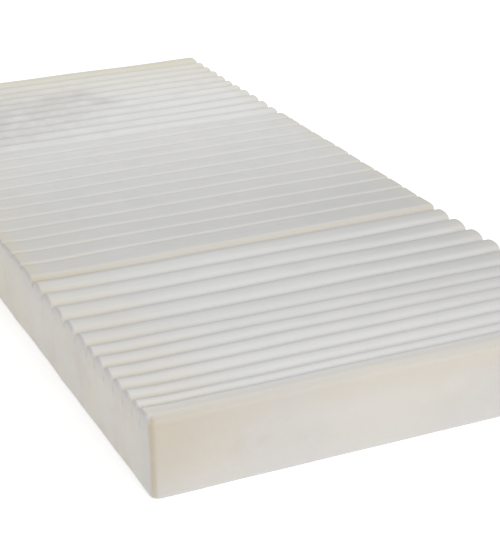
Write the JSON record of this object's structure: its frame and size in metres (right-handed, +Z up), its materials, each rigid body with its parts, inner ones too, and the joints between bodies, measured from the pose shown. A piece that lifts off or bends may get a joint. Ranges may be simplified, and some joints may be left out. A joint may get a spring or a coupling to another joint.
{
  "type": "pressure relief mattress",
  "caption": "Bare foam hospital mattress core with a ribbed top in three zones: round ribs at head and foot, flat ribs under the torso, on a base that bends with the bed.",
  "frame": {"origin": "centre of the underside, on the surface that the mattress rests on", "axes": "+X across the mattress, +Y along it from the foot end to the head end, +Z up out of the ribbed top"},
  "size_m": [0.889, 2.032, 0.1524],
  "materials": {
    "rib_foam": "matte open-cell foam, ivory",
    "torso_foam": "matte open-cell foam, grey-white",
    "base_foam": "matte open-cell foam, warm ivory",
    "glue": "thin cured contact adhesive, pale yellow"
  },
  "bodies": {
    "seat": {"base_seat": "base_foam", "glue_seat": "glue", "base_back_bend": "base_foam", "glue_back_bend": "glue", "torso_rib_05": "torso_foam", "torso_rib_06": "torso_foam", "torso_rib_07": "torso_foam", "torso_rib_08": "torso_foam"},
    "back": {"base_back": "base_foam", "glue_back": "glue", "head_rib_01": "rib_foam", "head_rib_02": "rib_foam", "head_rib_03": "rib_foam", "head_rib_04": "rib_foam", "head_rib_05": "rib_foam", "head_rib_06": "rib_foam", "head_rib_07": "rib_foam", "head_rib_08": "rib_foam", "head_rib_09": "rib_foam", "head_rib_10": "rib_foam", "head_rib_11": "rib_foam", "torso_rib_01": "torso_foam", "torso_rib_02": "torso_foam", "torso_rib_03": "torso_foam", "torso_rib_04": "torso_foam"},
    "thigh": {"base_thigh_bend": "base_foam", "glue_thigh_bend": "glue", "base_thigh": "base_foam", "glue_thigh": "glue", "base_knee_bend": "base_foam", "glue_knee_bend": "glue", "torso_rib_09": "torso_foam", "torso_rib_10": "torso_foam", "torso_rib_11": "torso_foam", "torso_rib_12": "torso_foam"},
    "calf": {"base_calf": "base_foam", "glue_calf": "glue", "foot_rib_01": "rib_foam", "foot_rib_02": "rib_foam", "foot_rib_03": "rib_foam", "foot_rib_04": "rib_foam", "foot_rib_05": "rib_foam", "foot_rib_06": "rib_foam", "foot_rib_07": "rib_foam", "foot_rib_08": "rib_foam", "foot_rib_09": "rib_foam", "foot_rib_10": "rib_foam", "foot_rib_11": "rib_foam", "foot_rib_12": "rib_foam"}
  },
  "joints": [
    {"name": "back_fold", "type": "hinge", "parent": "seat", "child": "back", "pos_m": [0, 0.1532, 0.07], "axis": [1, 0, 0], "range_deg": [0, 60], "stiffness_Nm_per_rad": 15, "deforming": ["base_back_bend", "glue_back_bend", "torso_rib_03", "torso_rib_04", "torso_rib_05", "torso_rib_06"]},
    {"name": "thigh_fold", "type": "hinge", "parent": "seat", "child": "thigh", "pos_m": [0, -0.1068, 0.07], "axis": [-1, 0, 0], "range_deg": [0, 25], "stiffness_Nm_per_rad": 15, "deforming": ["base_thigh_bend", "glue_thigh_bend", "torso_rib_08", "torso_rib_09"]},
    {"name": "knee_fold", "type": "hinge", "parent": "thigh", "child": "calf", "pos_m": [0, -0.3728, 0.06], "axis": [1, 0, 0], "range_deg": [0, 35], "stiffness_Nm_per_rad": 15, "deforming": ["base_knee_bend", "glue_knee_bend", "torso_rib_12", "foot_rib_01"]}
  ],
  "couplings": [
    {"joint": "knee_fold", "follows": "thigh_fold", "ratio": 1.4}
  ]
}
